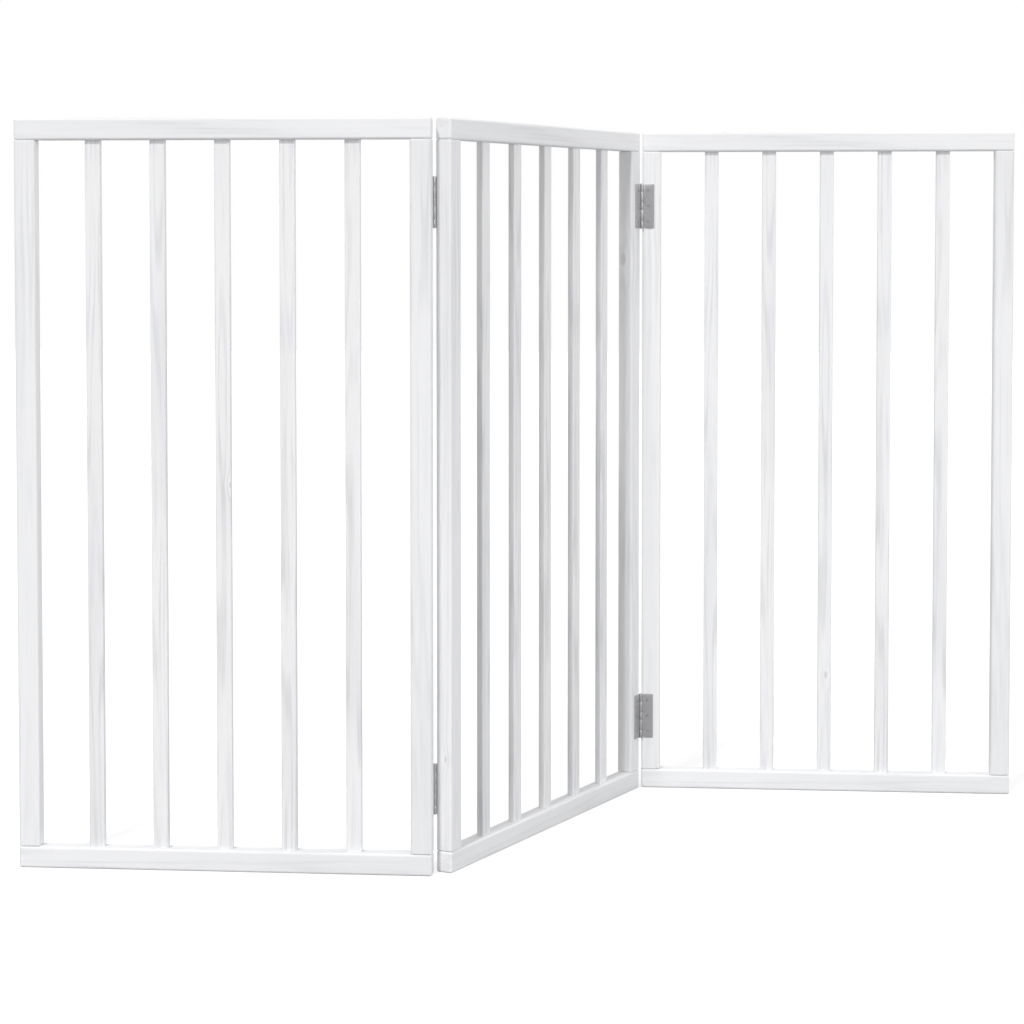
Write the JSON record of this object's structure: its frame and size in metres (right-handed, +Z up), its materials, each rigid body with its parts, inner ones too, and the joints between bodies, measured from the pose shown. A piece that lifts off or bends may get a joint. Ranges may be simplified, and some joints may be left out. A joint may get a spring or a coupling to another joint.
{
  "type": "folding pet gate",
  "caption": "Free-standing folding pet gate: hinged white-painted wooden panels with upright slats that stand in a zigzag across a doorway and fold flat.",
  "frame": {"origin": "on the floor, under the middle of the middle panel, which is also the bottom centre of the open gate's bounding box", "axes": "+X runs along the two outer panels from the left one to the right one as seen from the front; +Y points from the front to the back; +Z is up"},
  "size_m": [1.2352, 0.4894, 0.9],
  "materials": {
    "painted_wood": "thin satin white paint on softwood, with the grain and a few knots faintly showing through",
    "dowel_wood": "plain beech, glued in",
    "hinge_leaf": "zinc-plated steel sheet, satin",
    "hinge_pin": "zinc-plated steel wire, satin",
    "screw": "zinc-plated steel, satin, with a cross recess"
  },
  "bodies": {
    "middle_panel": {"left_lower_hinge_middle_leaf": "hinge_leaf", "left_lower_hinge_middle_screws": "screw", "left_lower_hinge_pin": "hinge_pin", "left_upper_hinge_middle_leaf": "hinge_leaf", "left_upper_hinge_middle_screws": "screw", "left_upper_hinge_pin": "hinge_pin", "middle_panel_bottom_rail": "painted_wood", "middle_panel_corner_dowels": "dowel_wood", "middle_panel_left_stile": "painted_wood", "middle_panel_right_stile": "painted_wood", "middle_panel_slat_1": "painted_wood", "middle_panel_slat_2": "painted_wood", "middle_panel_slat_3": "painted_wood", "middle_panel_slat_4": "painted_wood", "middle_panel_slat_5": "painted_wood", "middle_panel_top_rail": "painted_wood", "right_lower_hinge_middle_leaf": "hinge_leaf", "right_lower_hinge_middle_screws": "screw", "right_lower_hinge_pin": "hinge_pin", "right_upper_hinge_middle_leaf": "hinge_leaf", "right_upper_hinge_middle_screws": "screw", "right_upper_hinge_pin": "hinge_pin"},
    "left_panel": {"left_lower_hinge_outer_leaf": "hinge_leaf", "left_lower_hinge_outer_screws": "screw", "left_panel_bottom_rail": "painted_wood", "left_panel_corner_dowels": "dowel_wood", "left_panel_left_stile": "painted_wood", "left_panel_right_stile": "painted_wood", "left_panel_slat_1": "painted_wood", "left_panel_slat_2": "painted_wood", "left_panel_slat_3": "painted_wood", "left_panel_slat_4": "painted_wood", "left_panel_slat_5": "painted_wood", "left_panel_top_rail": "painted_wood", "left_upper_hinge_outer_leaf": "hinge_leaf", "left_upper_hinge_outer_screws": "screw"},
    "right_panel": {"right_lower_hinge_outer_leaf": "hinge_leaf", "right_lower_hinge_outer_screws": "screw", "right_panel_bottom_rail": "painted_wood", "right_panel_corner_dowels": "dowel_wood", "right_panel_left_stile": "painted_wood", "right_panel_right_stile": "painted_wood", "right_panel_slat_1": "painted_wood", "right_panel_slat_2": "painted_wood", "right_panel_slat_3": "painted_wood", "right_panel_slat_4": "painted_wood", "right_panel_slat_5": "painted_wood", "right_panel_top_rail": "painted_wood", "right_upper_hinge_outer_leaf": "hinge_leaf", "right_upper_hinge_outer_screws": "screw"}
  },
  "joints": [
    {"name": "left_fold", "type": "hinge", "parent": "middle_panel", "child": "left_panel", "pos_m": [-0.1166, -0.22261, 0.45], "axis": [0, 0, 1], "range_deg": [-115, 65]},
    {"name": "right_fold", "type": "hinge", "parent": "middle_panel", "child": "right_panel", "pos_m": [0.1166, 0.22261, 0.45], "axis": [0, 0, 1], "range_deg": [-115, 65]}
  ]
}
